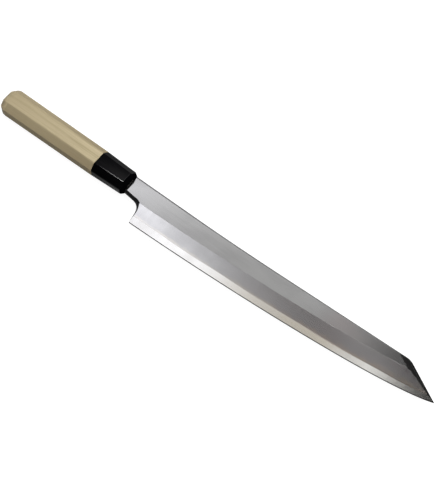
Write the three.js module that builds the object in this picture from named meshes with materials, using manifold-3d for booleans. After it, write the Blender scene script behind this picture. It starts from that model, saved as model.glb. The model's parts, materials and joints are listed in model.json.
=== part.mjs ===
// A single-bevel kiritsuke slicing knife with a laminated blade and an octagonal wooden handle.
// Millimetres. X runs along the knife to the tip, Y towards the spine and Z out of the ground face.
// While the pieces are made, the ferrule's front face is at x = 0 and the handle's axis is y = z = 0.

import * as THREE from "three";
import { mergeVertices } from "three/addons/utils/BufferGeometryUtils.js";
import Module from "manifold-3d";

// Handle
const GRIP_LENGTH = 106.3;
const BUTT_HEIGHT = 24.2;
const BUTT_WIDTH = 20.1;
const BUTT_DOME_LENGTH = 8;
const BUTT_DOME_INSET = 6;
const JOINT_HEIGHT = 23.5;
const JOINT_WIDTH = 19.3;
const OCTAGON_CHAMFER = 5.8;
const FERRULE_LENGTH = 34;
const FERRULE_FRONT_HEIGHT = 22;
const FERRULE_FRONT_WIDTH = 17.8;
const MOUTH_CHAMFER_LENGTH = 2.6;
const MOUTH_CHAMFER_DEPTH = 2;
const FERRULE_WALL = 2.4;
const FERRULE_FRONT_WALL = 7;
const SEAL_DEPTH = 3;
const SEAL_RIM = 1.6;

// Tang, hidden in the handle
const TENON_CHEEK = 1.4;
const TANG_THICKNESS = 3.8;
const TANG_END_HEIGHT = 4.5;
const TANG_END_THICKNESS = 2.6;
const WOOD_BEHIND_TANG = 38;

// Blade outline: the neck, the choil, the edge, the angled tip cut and the spine
const NECK_TOP = 9.3;
const NECK_BOTTOM = 8.35;
const CHOIL_DROP = 10.55;
const CHOIL_LEAN = 3.2;
const NECK_FILLET = 7.9;
const CHOIL_FILLET = 8.6;
const HEEL_X = 21.6;
const HEEL_DROP = 27.9;
const EDGE_LENGTH = 296.6;
const TIP_DROP = 4.2;
const EDGE_HEEL_REACH = 112;
const EDGE_HEEL_SLOPE = 0.0125;
const EDGE_TIP_REACH = 38;
const EDGE_TIP_SLOPE = 0.355;
const TIP_CUT_LENGTH = 36;
const TIP_CUT_HEIGHT = 18.6;
const TIP_CORNER_ROUND = 3;
const SPINE_BEND_X = 104;
const SPINE_BEND_DIP = 0.3;
const SPINE_BEND_REACH = 48;

// Blade section: thickness at the neck and the tip, ground face, hollow back
const NECK_THICKNESS = 4.4;
const TIP_THICKNESS = 1.8;
const KIREHA_WIDTH = 18.4;
const KOBA_WIDTH = 0.6;
const KOBA_THICKNESS = 0.48;
const EDGE_THICKNESS = 0.1;
const STEEL_START_X = 9;
const STEEL_HEEL_THICKNESS = 1.96;
const STEEL_TIP_THICKNESS = 1.02;
const TURN_HEEL_WIDTH = 7;
const TURN_TIP_WIDTH = 5.8;
const TURN_ABOVE_WELD = 0.12;
const WELD_WAVE_HEIGHT = 0.05;
const WELD_WAVE_PITCH = 74;
const BACK_WHEEL_RADIUS = 400;
const BACK_RIM = 1.8;
const BACK_HEEL_MARGIN = 5;
const BACK_TIP_MARGIN = 26;
const BACK_END_LENGTH = 34;

// Rounding of the blade's rim: how far in plan it reaches on the face and on the back, how high up the
// thickness the rim is widest, and how far from upright the face's round starts
const SPINE_ROUND = 2;
const NECK_RIM = { face: SPINE_ROUND, back: SPINE_ROUND, belly: 0.5, start: 0 };
const TIP_RIM = { face: 0.8, back: 0.8, belly: 0.5, start: 0 };
const UNDERSIDE_RIM = { face: 2.2, back: 0.5, belly: 0.12, start: 0 };
const CHOIL_RIM = { face: 4.9, back: 0.5, belly: 0.12, start: 50 };
const CUT_RIM = { face: 0.4, back: 0.4, belly: 0.5, start: 0 };
const CUT_ROUND = { face: 6.5, belly: 0.1, start: 65 };

// Clearances between the pieces
const WELD_GAP = 0.02;
const SHOULDER_GAP = 0.3;
const GLUE_GAP = 0.3;

// Fineness of the facets
const CURVE_STEPS = 40;
const CORNER_STEPS = 10;
const ROUND_STEPS = 5;
const BORE_SIDES = 40;
const STATION_STEP = 8;
const BACK_ARC_STEPS = 8;
const BACK_STATIONS = 28;
const CUT_MARGIN = 12;
const BLANK_OVERRUN = 24;
const TRIM_OVERRUN = 36;
const SHINOGI_OVERRUN = 0.5;
const ROUND_OVERSHOOT = 1.005;
const MERGE_DISTANCE = 1e-5;

const wasm = await Module();
wasm.setup();

const { lerp, degToRad } = THREE.MathUtils;

// Sizes that follow from those above
const TIP_X = HEEL_X + EDGE_LENGTH;
const BACK_Z = -NECK_THICKNESS / 2;
const BORE_RADIUS = FERRULE_FRONT_WIDTH / 2 - FERRULE_WALL;
const TENON_RADIUS = BORE_RADIUS - GLUE_GAP;
const TANG_HEIGHT = 2 * (TENON_RADIUS - TENON_CHEEK - GLUE_GAP);
const JOINT_X = -FERRULE_LENGTH;
const BUTT_X = JOINT_X - GRIP_LENGTH;
const BORE_END_X = -FERRULE_FRONT_WALL;
const TANG_END_X = BUTT_X + WOOD_BEHIND_TANG;
const CHAMFER_SHRINK = 2 - Math.SQRT2;

// The blade is thickest at the neck and thins evenly to the tip.
const thicknessAt = (x) => lerp(NECK_THICKNESS, TIP_THICKNESS, x / TIP_X);
const faceZ = (x) => BACK_Z + thicknessAt(x);

// Turns a list of equal closed rings into a closed skin, with both ends capped.
// flatten gives a ring point's place in the plane in which the caps are cut into triangles.
function loft(rings, flatten) {
  const count = rings[0].length;
  const points = rings.flat();
  const faces = [];
  for (let r = 0; r + 1 < rings.length; r++) {
    for (let i = 0; i < count; i++) {
      const a = r * count + i;
      const b = r * count + ((i + 1) % count);
      faces.push([a, b, b + count], [a, b + count, a + count]);
    }
  }
  const last = (rings.length - 1) * count;
  for (const [start, turned] of [[0, true], [last, false]]) {
    const flat = points.slice(start, start + count).map(flatten);
    const turn = Math.sign(THREE.ShapeUtils.area(flat));
    for (const [a, b, c] of THREE.ShapeUtils.triangulateShape(flat, [])) {
      const same = Math.sign(THREE.ShapeUtils.area([flat[a], flat[b], flat[c]])) === turn;
      const face = [start + a, start + b, start + c];
      faces.push(same === turned ? face.reverse() : face);
    }
  }
  const geometry = new THREE.BufferGeometry();
  const outward = enclosed(points, faces) > 0;
  geometry.setFromPoints(points);
  geometry.setIndex(faces.flatMap((face) => (outward ? face : face.reverse())));
  return geometry;
}

// Six times the volume inside the faces, negative where they point inwards.
function enclosed(points, faces) {
  const side = new THREE.Vector3();
  return faces.reduce((sum, [a, b, c]) => sum + side.crossVectors(points[a], points[b]).dot(points[c]), 0);
}

const across = (p) => new THREE.Vector2(p.y, p.z);
const inPlan = (p) => new THREE.Vector2(p.x, p.y);

// A solid for cutting and joining, from a closed geometry.
function solid(geometry) {
  const bare = geometry.clone();
  for (const name of ["normal", "uv"]) bare.deleteAttribute(name);
  const merged = mergeVertices(bare, MERGE_DISTANCE);
  const mesh = new wasm.Mesh({
    numProp: 3,
    vertProperties: Float32Array.from(merged.attributes.position.array),
    triVerts: Uint32Array.from(merged.index.array),
  });
  return new wasm.Manifold(mesh);
}

// The named mesh of a finished solid.
function piece(name, body, color, roughness, metalness) {
  const { vertProperties, triVerts } = body.getMesh();
  const geometry = new THREE.BufferGeometry();
  geometry.setAttribute("position", new THREE.BufferAttribute(Float32Array.from(vertProperties), 3));
  geometry.setIndex(new THREE.BufferAttribute(Uint32Array.from(triVerts), 1));
  geometry.computeVertexNormals();
  const material = new THREE.MeshStandardMaterial({ color, roughness, metalness });
  const mesh = new THREE.Mesh(geometry, material);
  mesh.name = name;
  return mesh;
}

// Stands a shape drawn in Y and Z, and extruded along Z, up along X instead.
const alongX = new THREE.Matrix4().set(0, 0, 1, 0, 1, 0, 0, 0, 0, 1, 0, 0, 0, 0, 0, 1);

function extrudeAlongX(shape, fromX, toX) {
  const geometry = new THREE.ExtrudeGeometry(shape, {
    depth: toX - fromX,
    bevelEnabled: false,
    curveSegments: CORNER_STEPS,
  });
  return solid(geometry.applyMatrix4(alongX).translate(fromX, 0, 0));
}

function roundBar(radius, fromX, toX) {
  const geometry = new THREE.CylinderGeometry(radius, radius, toX - fromX, BORE_SIDES);
  geometry.rotateZ(degToRad(-90)).translate((fromX + toX) / 2, 0, 0);
  return solid(geometry);
}

// A bar of rectangular sections, each { x, height, width }.
function taperedBar(sections) {
  const rings = sections.map(({ x, height, width }) => [
    new THREE.Vector3(x, height / 2, width / 2),
    new THREE.Vector3(x, -height / 2, width / 2),
    new THREE.Vector3(x, -height / 2, -width / 2),
    new THREE.Vector3(x, height / 2, -width / 2),
  ]);
  return solid(loft(rings, across));
}

// A bar of octagons, each { x, height, width, chamfer }.
function octagonBar(sections) {
  const rings = sections.map(({ x, height, width, chamfer }) => {
    const [h, w] = [height / 2, width / 2];
    const corners = [[h - chamfer, w], [chamfer - h, w], [-h, w - chamfer], [-h, chamfer - w]];
    const mirrored = corners.map(([y, z]) => [-y, -z]);
    return [...corners, ...mirrored].map(([y, z]) => new THREE.Vector3(x, y, z));
  });
  return solid(loft(rings, across));
}

// The edge's curve in plan, from the heel to the tip.
const edge = new THREE.CubicBezierCurve(
  new THREE.Vector2(HEEL_X, -HEEL_DROP),
  new THREE.Vector2(HEEL_X + EDGE_HEEL_REACH, EDGE_HEEL_REACH * EDGE_HEEL_SLOPE - HEEL_DROP),
  new THREE.Vector2(TIP_X - EDGE_TIP_REACH, -TIP_DROP - EDGE_TIP_REACH * EDGE_TIP_SLOPE),
  new THREE.Vector2(TIP_X, -TIP_DROP),
);

// The edge's height at x, carried on straight past both of its ends.
function edgeY(x) {
  if (x <= HEEL_X) return -HEEL_DROP + (x - HEEL_X) * EDGE_HEEL_SLOPE;
  if (x >= TIP_X) return -TIP_DROP + (x - TIP_X) * EDGE_TIP_SLOPE;
  let [low, high] = [0, 1];
  for (let i = 0; i < CURVE_STEPS; i++) {
    const middle = (low + high) / 2;
    if (edge.getPoint(middle).x < x) low = middle;
    else high = middle;
  }
  return edge.getPoint(low).y;
}

// Where the angled tip cut meets the spine, before that corner is rounded.
const TIP_CORNER = new THREE.Vector2(TIP_X - TIP_CUT_LENGTH, TIP_CUT_HEIGHT - TIP_DROP);
const TIP_CUT = new THREE.Vector2(TIP_CUT_LENGTH, -TIP_CUT_HEIGHT).normalize();
const SPINE_BEND = new THREE.Vector2(SPINE_BEND_X, NECK_TOP - SPINE_BEND_DIP);
const SPINE_RUN = TIP_CORNER.clone().sub(SPINE_BEND).normalize();

// The spine's height at x, with its gentle rise past the bend as two straight runs.
function spineY(x) {
  if (x > TIP_CORNER.x) return TIP_CORNER.y + ((x - TIP_CORNER.x) * TIP_CUT.y) / TIP_CUT.x;
  if (x > SPINE_BEND_X) return SPINE_BEND.y + ((x - SPINE_BEND_X) * SPINE_RUN.y) / SPINE_RUN.x;
  return lerp(NECK_TOP, SPINE_BEND.y, x / SPINE_BEND_X);
}

// A rim between two others.
function mixRims(from, to, share) {
  return {
    face: lerp(from.face, to.face, share),
    back: lerp(from.back, to.back, share),
    belly: lerp(from.belly, to.belly, share),
    start: lerp(from.start, to.start, share),
  };
}

// The points of a corner's curve, each with its rim, which changes evenly along the curve.
function roundedCorner(from, corner, to, fromRim, toRim) {
  const points = new THREE.QuadraticBezierCurve(from, corner, to).getPoints(CORNER_STEPS);
  return points.map((point, i) => ({ point, rim: mixRims(fromRim, toRim, i / CORNER_STEPS) }));
}

// The outline of the forged blank, which runs on past the edge, the tip and the neck's shoulder.
function blankOutline() {
  const heel = new THREE.Vector2(HEEL_X, -HEEL_DROP);
  const choil = new THREE.Vector2(HEEL_X - CHOIL_LEAN, -CHOIL_DROP);
  const shoulder = new THREE.Vector2(0, -NECK_BOTTOM);
  const underside = choil.clone().sub(shoulder).normalize();
  const lean = heel.clone().sub(choil).normalize();
  const filletStart = choil.clone().addScaledVector(underside, -NECK_FILLET);
  const filletEnd = choil.clone().addScaledVector(lean, CHOIL_FILLET);
  const below = heel.clone().addScaledVector(lean, CUT_MARGIN);
  const past = new THREE.Vector2(TIP_X, -TIP_DROP).addScaledVector(TIP_CUT, BLANK_OVERRUN);
  const cornerIn = TIP_CORNER.clone().addScaledVector(TIP_CUT, TIP_CORNER_ROUND);
  const cornerOut = TIP_CORNER.clone().addScaledVector(SPINE_RUN, -TIP_CORNER_ROUND);
  const bendIn = SPINE_BEND.clone().addScaledVector(SPINE_RUN, SPINE_BEND_REACH);
  const bendOutX = SPINE_BEND_X - SPINE_BEND_REACH;
  const bendOut = new THREE.Vector2(bendOutX, spineY(bendOutX));
  const spineRim = (point) => mixRims(NECK_RIM, TIP_RIM, point.x / TIP_X);
  return [
    { point: shoulder.clone().addScaledVector(underside, -CUT_MARGIN), rim: UNDERSIDE_RIM },
    ...roundedCorner(filletStart, choil, filletEnd, UNDERSIDE_RIM, CHOIL_RIM),
    { point: below, rim: CHOIL_RIM },
    { point: new THREE.Vector2(past.x, below.y), rim: CUT_RIM },
    { point: past, rim: CUT_RIM },
    ...roundedCorner(cornerIn, TIP_CORNER, cornerOut, CUT_RIM, spineRim(cornerOut)),
    ...roundedCorner(bendIn, SPINE_BEND, bendOut, spineRim(bendIn), spineRim(bendOut)),
    { point: new THREE.Vector2(-CUT_MARGIN, NECK_TOP), rim: NECK_RIM },
  ];
}

// A place on the rim's round, from the back at a turn of -90 degrees, by the belly at 0, to the face at 90:
// how far in it lies in plan, and how high as a share of the thickness.
function onRim({ face, back, belly, start }, turn) {
  if (turn < 0) {
    const round = degToRad(turn);
    return { inset: back * (1 - Math.cos(round)), height: belly * (1 + Math.sin(round)) };
  }
  const first = degToRad(start);
  const round = degToRad(lerp(start, 90, turn / 90));
  const rise = (Math.sin(round) - Math.sin(first)) / (1 - Math.sin(first));
  return { inset: face * (1 - Math.cos(round) / Math.cos(first)), height: lerp(belly, 1, rise) };
}

// The blank: the outline as a tapered slab whose rim is rounded right over.
function blank() {
  const outline = blankOutline();
  const count = outline.length;
  const inward = outline.map(({ point }, i) => {
    const before = point.clone().sub(outline[(i + count - 1) % count].point).normalize();
    const after = outline[(i + 1) % count].point.clone().sub(point).normalize();
    const normal = new THREE.Vector2(-before.y - after.y, before.x + after.x).normalize();
    return normal.divideScalar(-before.y * normal.x + before.x * normal.y);
  });
  const rings = [];
  for (let step = -ROUND_STEPS; step <= ROUND_STEPS; step++) {
    rings.push(outline.map(({ point, rim }, i) => {
      const { inset, height } = onRim(rim, (90 * step) / ROUND_STEPS);
      const plan = point.clone().addScaledVector(inward[i], inset);
      return new THREE.Vector3(plan.x, plan.y, BACK_Z + thicknessAt(plan.x) * height);
    }));
  }
  return solid(loft(rings, inPlan));
}

// All that lies above the edge's curve and ahead of the neck's shoulder.
function edgeTrim() {
  const shape = new THREE.Shape();
  const past = TIP_X + TRIM_OVERRUN;
  shape.moveTo(SHOULDER_GAP, -HEEL_DROP);
  shape.lineTo(HEEL_X, -HEEL_DROP);
  shape.bezierCurveTo(edge.v1.x, edge.v1.y, edge.v2.x, edge.v2.y, edge.v3.x, edge.v3.y);
  shape.lineTo(past, edgeY(past));
  shape.lineTo(past, TIP_CORNER.y + CUT_MARGIN);
  shape.lineTo(SHOULDER_GAP, TIP_CORNER.y + CUT_MARGIN);
  const depth = NECK_THICKNESS + 2 * CUT_MARGIN;
  const geometry = new THREE.ExtrudeGeometry(shape, {
    depth,
    bevelEnabled: false,
    curveSegments: CURVE_STEPS,
  });
  return solid(geometry.translate(0, 0, -depth / 2));
}

// Evenly spaced places along the blade.
function stations(fromX, toX, steps) {
  return Array.from({ length: steps + 1 }, (_, i) => lerp(fromX, toX, i / steps));
}

const bladeSteps = Math.ceil((EDGE_LENGTH + 2 * CUT_MARGIN) / STATION_STEP);

// The edge steel's mean thickness at x, and how far from the edge the bevel turns steeper.
const edgeShare = (x) => (x - HEEL_X) / EDGE_LENGTH;
const steelThickness = (x) => lerp(STEEL_HEEL_THICKNESS, STEEL_TIP_THICKNESS, edgeShare(x));
const turnWidth = (x) => lerp(TURN_HEEL_WIDTH, TURN_TIP_WIDTH, edgeShare(x));

// What is ground away in front of the shinogi line: the wide kireha, which turns a little steeper just above
// the weld line, and the narrow koba at the edge.
function kirehaCut() {
  const top = BACK_Z + NECK_THICKNESS + CUT_MARGIN;
  const rings = stations(HEEL_X - CUT_MARGIN, TIP_X + CUT_MARGIN, bladeSteps).map((x) => {
    const y = edgeY(x);
    const koba = new THREE.Vector2(y + KOBA_WIDTH, BACK_Z + KOBA_THICKNESS);
    const turn = new THREE.Vector2(y + turnWidth(x), BACK_Z + steelThickness(x) + TURN_ABOVE_WELD);
    const shinogi = new THREE.Vector2(y + KIREHA_WIDTH, faceZ(x));
    const above = shinogi.clone().sub(turn).multiplyScalar(SHINOGI_OVERRUN).add(shinogi);
    const slope = (KOBA_THICKNESS - EDGE_THICKNESS) / KOBA_WIDTH;
    const below = new THREE.Vector2(y - CUT_MARGIN, BACK_Z + EDGE_THICKNESS - CUT_MARGIN * slope);
    const lid = [new THREE.Vector2(above.x, top), new THREE.Vector2(below.x, top)];
    return [below, koba, turn, above, ...lid].map((corner) => new THREE.Vector3(x, corner.x, corner.y));
  });
  return solid(loft(rings, across));
}

// What is rounded away along the angled tip cut, in one straight run from past the spine to past the tip.
function cutRound() {
  const inward = new THREE.Vector2(TIP_CUT.y, -TIP_CUT.x);
  const top = BACK_Z + NECK_THICKNESS + CUT_MARGIN;
  const from = TIP_CORNER.clone().addScaledVector(TIP_CUT, -TRIM_OVERRUN);
  const to = new THREE.Vector2(TIP_X, -TIP_DROP).addScaledVector(TIP_CUT, BLANK_OVERRUN);
  const rings = [from, to].map((end) => {
    const onFace = ({ inset, height }) => {
      const plan = end.clone().addScaledVector(inward, inset);
      return new THREE.Vector3(plan.x, plan.y, BACK_Z + thicknessAt(plan.x) * height * ROUND_OVERSHOOT);
    };
    const ring = [onFace({ inset: -CUT_MARGIN, height: CUT_ROUND.belly })];
    for (let step = 0; step <= ROUND_STEPS; step++) {
      ring.push(onFace(onRim(CUT_ROUND, (90 * step) / ROUND_STEPS)));
    }
    const lid = [ring[ring.length - 1], ring[0]].map((corner) => corner.clone().setZ(top));
    return [...ring, ...lid];
  });
  return solid(loft(rings, (p) => new THREE.Vector2(inPlan(p).dot(inward), p.z)));
}

// The layer of the blade that is edge steel, grown by the gap when it is cut out of the cladding.
function steelLayer(gap) {
  const reach = HEEL_DROP + TIP_CUT_HEIGHT + CUT_MARGIN;
  const rings = stations(STEEL_START_X - gap, TIP_X + CUT_MARGIN, bladeSteps).map((x) => {
    const wave = WELD_WAVE_HEIGHT * Math.sin((2 * Math.PI * (x - HEEL_X)) / WELD_WAVE_PITCH);
    const z = BACK_Z + steelThickness(x) + wave + gap;
    const low = BACK_Z - CUT_MARGIN;
    const corners = [[-reach, low], [reach, low], [reach, z], [-reach, z]];
    return corners.map(([y, height]) => new THREE.Vector3(x, y, height));
  });
  return solid(loft(rings, across));
}

// The shallow hollow ground into the back, which leaves a flat rim all round it.
function backHollow() {
  const from = HEEL_X + BACK_HEEL_MARGIN;
  const to = TIP_X - BACK_TIP_MARGIN;
  const rings = [];
  for (let i = 0; i <= BACK_STATIONS; i++) {
    const turn = (Math.PI * (i + 1)) / (BACK_STATIONS + 2);
    const x = lerp(from, to, (1 - Math.cos(turn)) / 2);
    const lower = edgeY(x) + BACK_RIM;
    const upper = spineY(x) - BACK_RIM - SPINE_ROUND;
    const fromEnd = Math.min(x - from, to - x, BACK_END_LENGTH) / BACK_END_LENGTH;
    const half = ((upper - lower) / 2) * Math.sqrt(1 - (1 - fromEnd) ** 2);
    const middle = (upper + lower) / 2;
    const ring = [];
    for (let k = 0; k <= BACK_ARC_STEPS; k++) {
      const y = lerp(-half, half, k / BACK_ARC_STEPS);
      ring.push(new THREE.Vector3(x, middle + y, BACK_Z + (half * half - y * y) / (2 * BACK_WHEEL_RADIUS)));
    }
    ring.push(new THREE.Vector3(x, middle + half, BACK_Z - CUT_MARGIN));
    ring.push(new THREE.Vector3(x, middle - half, BACK_Z - CUT_MARGIN));
    rings.push(ring);
  }
  return solid(loft(rings, across));
}

// The tang from frontX back, or with a gap the socket burnt for it. It narrows evenly behind the mouth.
function tang(frontX, gap) {
  const sectionAt = (x, share) => ({
    x,
    height: lerp(TANG_HEIGHT, TANG_END_HEIGHT, share) + 2 * gap,
    width: lerp(TANG_THICKNESS, TANG_END_THICKNESS, share) + 2 * gap,
  });
  return taperedBar([sectionAt(frontX, frontX / TANG_END_X), sectionAt(TANG_END_X - gap, 1)]);
}

// The pocket in the ferrule's mouth that the seal fills, smaller by the gap for the seal itself.
function mouthPocket(gap, frontX) {
  const half = TANG_THICKNESS / 2 + SEAL_RIM - gap;
  const straight = TANG_HEIGHT / 2 + SEAL_RIM - gap - half;
  const shape = new THREE.Shape();
  shape.absarc(straight, 0, half, degToRad(-90), degToRad(90), false);
  shape.absarc(-straight, 0, half, degToRad(90), degToRad(270), false);
  return extrudeAlongX(shape, gap - SEAL_DEPTH, frontX);
}

function blade() {
  const ground = blank().intersect(edgeTrim()).subtract(kirehaCut()).subtract(cutRound());
  const cladding = ground.subtract(steelLayer(WELD_GAP)).add(tang(STEEL_START_X / 2, 0));
  const steel = ground.intersect(steelLayer(0)).subtract(backHollow());
  return [
    piece("blade_cladding", cladding, 0xb3b4b9, 0.36, 1),
    piece("blade_edge_steel", steel, 0xd8d6d0, 0.2, 1),
  ];
}

function ferrule() {
  const body = octagonBar([
    { x: JOINT_X, height: JOINT_HEIGHT, width: JOINT_WIDTH, chamfer: OCTAGON_CHAMFER },
    {
      x: -MOUTH_CHAMFER_LENGTH,
      height: FERRULE_FRONT_HEIGHT,
      width: FERRULE_FRONT_WIDTH,
      chamfer: OCTAGON_CHAMFER,
    },
    {
      x: 0,
      height: FERRULE_FRONT_HEIGHT - 2 * MOUTH_CHAMFER_DEPTH,
      width: FERRULE_FRONT_WIDTH - 2 * MOUTH_CHAMFER_DEPTH,
      chamfer: OCTAGON_CHAMFER - MOUTH_CHAMFER_DEPTH * CHAMFER_SHRINK,
    },
  ]);
  const bored = body.subtract(roundBar(BORE_RADIUS, JOINT_X - CUT_MARGIN, BORE_END_X));
  const opened = bored.subtract(tang(CUT_MARGIN, GLUE_GAP)).subtract(mouthPocket(0, CUT_MARGIN));
  return piece("ferrule", opened, 0x0d0c0c, 0.2, 0);
}

function mouthSeal() {
  const plug = mouthPocket(GLUE_GAP, 0).subtract(tang(CUT_MARGIN, GLUE_GAP));
  return piece("mouth_seal", plug, 0x1c1613, 0.4, 0);
}

// The grip, with a domed butt and the tenon that the ferrule is pushed over.
function handleGrip() {
  const sections = [];
  for (let step = 0; step <= ROUND_STEPS; step++) {
    const turn = degToRad((90 * step) / ROUND_STEPS);
    const inset = BUTT_DOME_INSET * (1 - Math.sin(turn));
    sections.push({
      x: BUTT_X + BUTT_DOME_LENGTH * (1 - Math.cos(turn)),
      height: BUTT_HEIGHT - 2 * inset,
      width: BUTT_WIDTH - 2 * inset,
      chamfer: OCTAGON_CHAMFER - inset * CHAMFER_SHRINK,
    });
  }
  sections.push({ x: JOINT_X, height: JOINT_HEIGHT, width: JOINT_WIDTH, chamfer: OCTAGON_CHAMFER });
  const tenonEnd = BORE_END_X - GLUE_GAP;
  const body = octagonBar(sections).add(roundBar(TENON_RADIUS, JOINT_X - CUT_MARGIN, tenonEnd));
  return piece("handle_grip", body.subtract(tang(CUT_MARGIN, GLUE_GAP)), 0xc9b68f, 0.62, 0);
}

// The knife lies on its back, with its origin under the middle of its box.
const knife = new THREE.Group();
knife.add(...blade(), ferrule(), mouthSeal(), handleGrip());
const box = new THREE.Box3().setFromObject(knife);
const middle = box.getCenter(new THREE.Vector3());
knife.position.set(-middle.x, -middle.y, -box.min.z);

export default knife;
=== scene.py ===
"""Dresses a single-bevel kiritsuke slicer: laminated blade, horn ferrule and octagonal magnolia grip."""

import json
import logging
import math
from abc import ABC, abstractmethod
from dataclasses import dataclass, replace
from enum import Enum, IntEnum
from typing import ClassVar, Dict, FrozenSet, Iterable, List, Sequence, Tuple, Union

import bpy
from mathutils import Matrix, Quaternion, Vector

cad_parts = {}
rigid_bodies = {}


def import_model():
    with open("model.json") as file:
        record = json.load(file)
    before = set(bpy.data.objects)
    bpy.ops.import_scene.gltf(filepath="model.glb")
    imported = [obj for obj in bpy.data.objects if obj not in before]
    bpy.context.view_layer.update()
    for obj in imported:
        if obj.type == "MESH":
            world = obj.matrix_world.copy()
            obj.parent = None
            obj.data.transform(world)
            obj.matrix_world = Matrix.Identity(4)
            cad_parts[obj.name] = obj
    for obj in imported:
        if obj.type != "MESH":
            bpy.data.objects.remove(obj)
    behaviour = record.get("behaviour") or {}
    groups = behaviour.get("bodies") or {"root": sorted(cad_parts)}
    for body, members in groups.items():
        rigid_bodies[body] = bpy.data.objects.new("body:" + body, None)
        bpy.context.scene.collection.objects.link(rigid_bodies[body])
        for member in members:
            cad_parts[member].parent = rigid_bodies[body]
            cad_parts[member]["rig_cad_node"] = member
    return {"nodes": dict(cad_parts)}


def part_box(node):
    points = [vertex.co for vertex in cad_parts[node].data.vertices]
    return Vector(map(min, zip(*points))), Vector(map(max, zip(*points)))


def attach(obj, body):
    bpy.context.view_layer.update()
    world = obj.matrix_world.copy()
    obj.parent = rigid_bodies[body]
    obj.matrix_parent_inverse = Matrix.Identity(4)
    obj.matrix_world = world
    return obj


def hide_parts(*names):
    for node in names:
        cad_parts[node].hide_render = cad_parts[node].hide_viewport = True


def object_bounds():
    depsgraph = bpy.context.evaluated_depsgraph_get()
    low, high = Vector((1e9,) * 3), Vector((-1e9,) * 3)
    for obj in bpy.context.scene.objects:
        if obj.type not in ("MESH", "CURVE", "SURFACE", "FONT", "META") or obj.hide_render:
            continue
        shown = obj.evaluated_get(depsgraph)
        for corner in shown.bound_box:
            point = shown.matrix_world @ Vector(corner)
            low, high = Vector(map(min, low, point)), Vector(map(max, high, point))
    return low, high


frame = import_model()
CAD_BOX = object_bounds()

LOG = logging.getLogger("kiritsuke")
BODY = "root"
MERGE_DISTANCE = 1e-6
NOISE_BODY = (0.25, 0.75)
NOISE_CORE = (0.3, 0.7)

Pair = Tuple[float, float]
Triple = Tuple[float, float, float]
Feed = Union[bpy.types.NodeSocket, float, Sequence[float]]
Borders = Dict[Tuple[int, int], List[bpy.types.MeshPolygon]]


class Region(Enum):
    """The grinds and skins that a blade's surface is divided into."""

    FACE = "flat ground face above the shinogi"
    BEVEL = "ground bevel below the shinogi"
    EDGE = "narrow honed bevel at the edge"
    RIDGE = "burnished shinogi line"
    RIM = "rounded spine"
    CUT = "rounded tip cut"
    SCALE = "dark forge scale on the choil and tang"
    BACK = "hollow ground back"


class Axis(Enum):
    """A direction on the blade that scratches run in."""

    LENGTH = "along the blade"
    ACROSS = "from the spine to the edge"


class Skin(IntEnum):
    """The ferrule's surfaces, in the order of its material slots."""

    FACET = 0
    RUBBED = 1
    MOUTH = 2


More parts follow.
